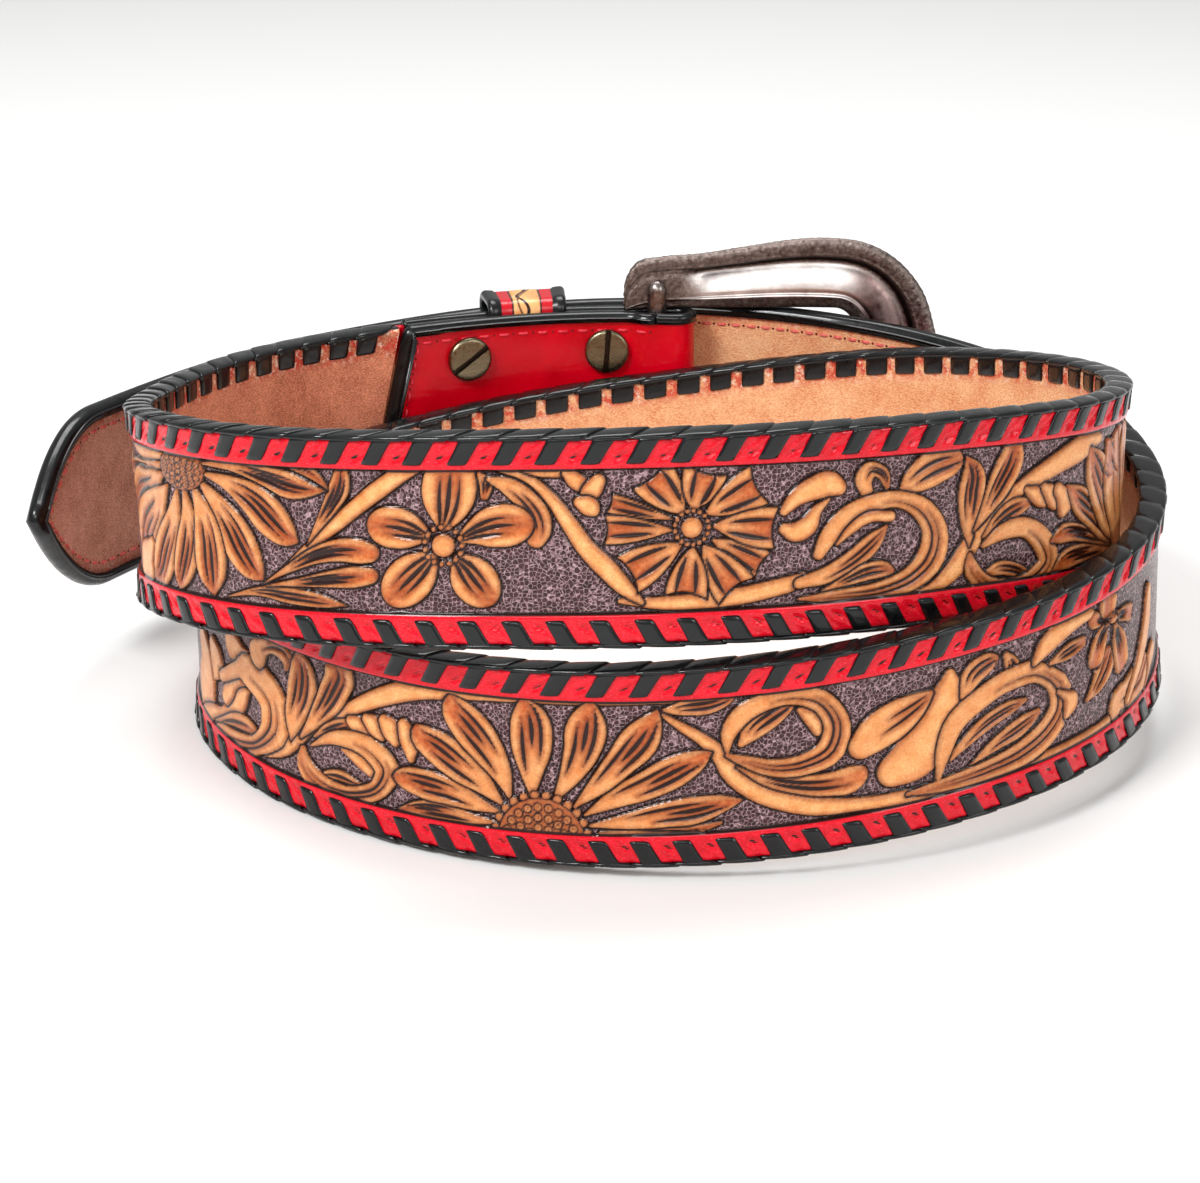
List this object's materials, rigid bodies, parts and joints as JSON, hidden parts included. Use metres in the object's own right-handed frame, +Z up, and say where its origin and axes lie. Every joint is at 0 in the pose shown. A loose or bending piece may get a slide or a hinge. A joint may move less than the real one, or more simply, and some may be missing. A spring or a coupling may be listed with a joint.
{
  "type": "western tooled belt",
  "caption": "Coiled western waist belt of tooled leather with laced edges, a keeper, screwed buckle billet and cast horseshoe buckle with prong.",
  "frame": {"origin": "middle of the foot of the coiled belt's bounding box", "axes": "+X along the coil's longer side, from the tip to the right; +Y towards the buckle at the far side; +Z up, across the strap's width"},
  "size_m": [0.2204, 0.1788, 0.0814],
  "materials": {
    "tooled_leather": "tan carved vegetable-tanned leather with a dark antiqued ground and red borders",
    "black_lace": "glossy black flat lace",
    "red_leather": "polished red leather",
    "black_binding": "glossy black edge binding",
    "tip_leather": "brown suede flesh side",
    "keeper_leather": "tan leather with red and black edges",
    "screw_metal": "aged steel",
    "buckle_metal": "antiqued cast metal with a polished hollow"
  },
  "bodies": {
    "root": {"tooled_body": "tooled_leather", "lace_top": "black_lace", "lace_bottom": "black_lace", "buckle_billet": "red_leather", "panel_binding": "black_binding", "tip_billet": "tip_leather", "tip_binding": "black_binding", "keeper": "keeper_leather", "screw_1": "screw_metal", "screw_2": "screw_metal", "screw_3": "screw_metal", "screw_4": "screw_metal", "buckle_frame": "buckle_metal", "prong": "buckle_metal"}
  },
  "joints": []
}
